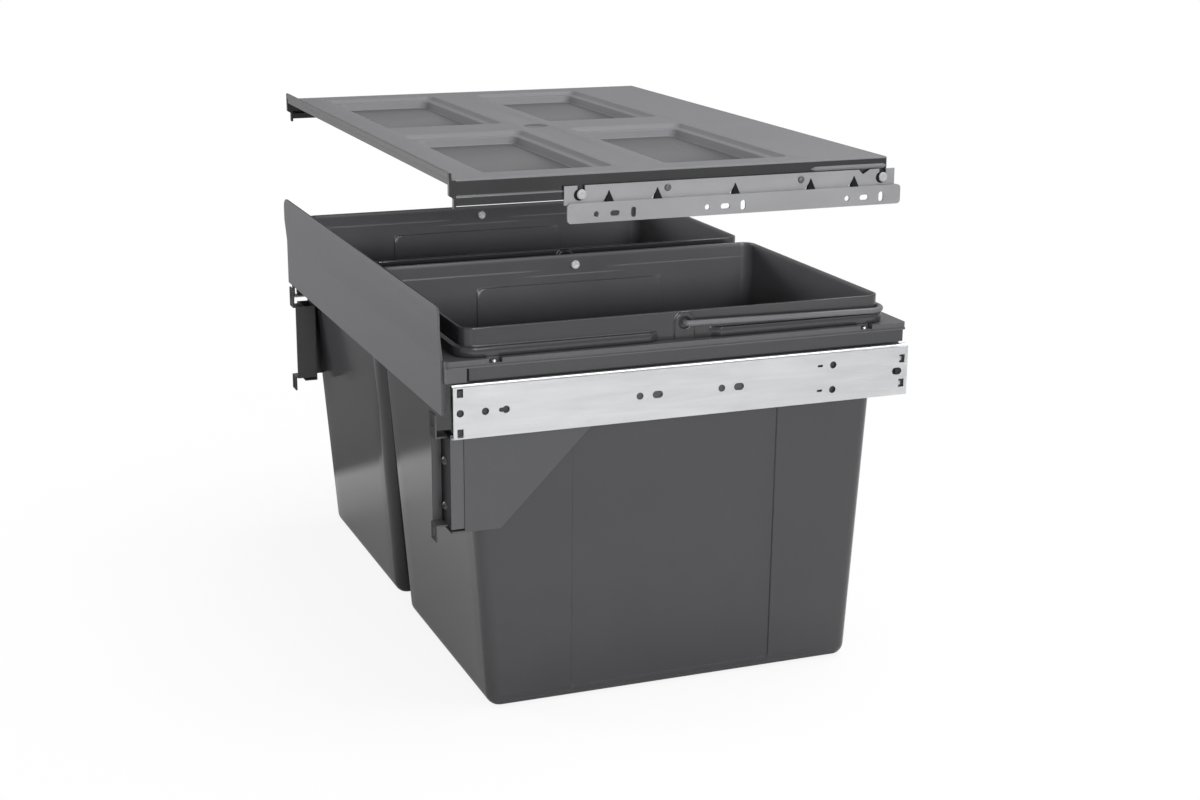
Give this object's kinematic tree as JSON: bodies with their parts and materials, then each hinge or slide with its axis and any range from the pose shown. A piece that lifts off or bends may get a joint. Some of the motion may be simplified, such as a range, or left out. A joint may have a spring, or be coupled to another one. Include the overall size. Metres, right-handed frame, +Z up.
{
  "type": "pull-out waste bin unit",
  "caption": "Pull-out waste bin unit: side-by-side lift-out bins with bails in a frame on ball slides, a front panel with door brackets, and a lid on side brackets.",
  "frame": {"origin": "centre of the unit's outline at the height of the bins' bases", "axes": "+X across the cabinet to the user's right, +Y to the back of the cabinet, +Z up; the drawer pulls out along -Y"},
  "size_m": [0.564, 0.408, 0.4493],
  "materials": {
    "zinc_steel": "bright zinc plate",
    "dark_steel": "satin powder coat",
    "panel_steel": "matt powder coat",
    "screw_steel": "satin",
    "frame_plastic": "fine grained",
    "lid_plastic": "fine grained with glossy recess floors",
    "bin_plastic": "smooth satin gloss",
    "bail_plastic": "smooth",
    "cap_plastic": "smooth",
    "bracket_plastic": "smooth"
  },
  "bodies": {
    "cabinet_members": {"slide_outer_right": "zinc_steel", "slide_outer_left": "zinc_steel"},
    "middle_members": {"slide_middle_right": "zinc_steel", "slide_middle_left": "zinc_steel"},
    "outer_cages": {"outer_ball_cage_right": "zinc_steel", "outer_ball_cage_left": "zinc_steel"},
    "inner_cages": {"inner_ball_cage_right": "zinc_steel", "inner_ball_cage_left": "zinc_steel"},
    "drawer": {"slide_inner_right": "zinc_steel", "slide_inner_left": "zinc_steel", "slide_rivets": "zinc_steel", "side_rail_right": "dark_steel", "side_rail_left": "dark_steel", "rear_cross_bar": "dark_steel", "top_frame": "frame_plastic", "frame_screws": "zinc_steel", "front_panel": "panel_steel", "panel_screws": "zinc_steel", "gusset_right": "dark_steel", "gusset_left": "dark_steel", "door_bracket_right": "dark_steel", "door_bracket_left": "dark_steel", "door_bracket_screws": "screw_steel"},
    "right_bin": {"bin_right": "bin_plastic"},
    "left_bin": {"bin_left": "bin_plastic"},
    "right_bail": {"bail_right": "bail_plastic", "bail_caps_right": "cap_plastic"},
    "left_bail": {"bail_left": "bail_plastic", "bail_caps_left": "cap_plastic"},
    "lid_rails": {"lid_bracket_right": "bracket_plastic", "lid_bracket_left": "bracket_plastic", "bracket_studs": "bracket_plastic"},
    "lid_cover": {"lid": "lid_plastic", "lid_recess_right_front": "lid_plastic", "lid_recess_right_rear": "lid_plastic", "lid_recess_left_front": "lid_plastic", "lid_recess_left_rear": "lid_plastic", "lid_front_strip": "frame_plastic", "lid_pins": "frame_plastic"}
  },
  "joints": [
    {"name": "drawer_slide", "type": "slide", "parent": "cabinet_members", "child": "drawer", "axis": [0, -1, 0], "range_m": [0, 0.39]},
    {"name": "middle_slide", "type": "slide", "parent": "cabinet_members", "child": "middle_members", "axis": [0, -1, 0], "range_m": [0, 0.195]},
    {"name": "outer_cage_slide", "type": "slide", "parent": "cabinet_members", "child": "outer_cages", "axis": [0, -1, 0], "range_m": [0, 0.0975]},
    {"name": "inner_cage_slide", "type": "slide", "parent": "cabinet_members", "child": "inner_cages", "axis": [0, -1, 0], "range_m": [0, 0.2925]},
    {"name": "bin_right_lift", "type": "slide", "parent": "drawer", "child": "right_bin", "axis": [0, 0, 1], "range_m": [0, 0.08]},
    {"name": "bin_left_lift", "type": "slide", "parent": "drawer", "child": "left_bin", "axis": [0, 0, 1], "range_m": [0, 0.08]},
    {"name": "bail_right_swing", "type": "hinge", "parent": "right_bin", "child": "right_bail", "pos_m": [0.1395, 0.00425, 0.3165], "axis": [1, 0, 0], "range_deg": [0, 36]},
    {"name": "bail_left_swing", "type": "hinge", "parent": "left_bin", "child": "left_bail", "pos_m": [-0.1395, 0.00425, 0.3165], "axis": [1, 0, 0], "range_deg": [0, 36]},
    {"name": "lid_rail_height", "type": "slide", "parent": "cabinet_members", "child": "lid_rails", "axis": [0, 0, 1], "range_m": [-0.092, 0]},
    {"name": "lid_lift", "type": "slide", "parent": "lid_rails", "child": "lid_cover", "axis": [0, 0, 1], "range_m": [0, 0.05]}
  ],
  "couplings": [
    {"joint": "middle_slide", "follows": "drawer_slide", "ratio": 0.5},
    {"joint": "outer_cage_slide", "follows": "drawer_slide", "ratio": 0.25},
    {"joint": "inner_cage_slide", "follows": "drawer_slide", "ratio": 0.75}
  ]
}
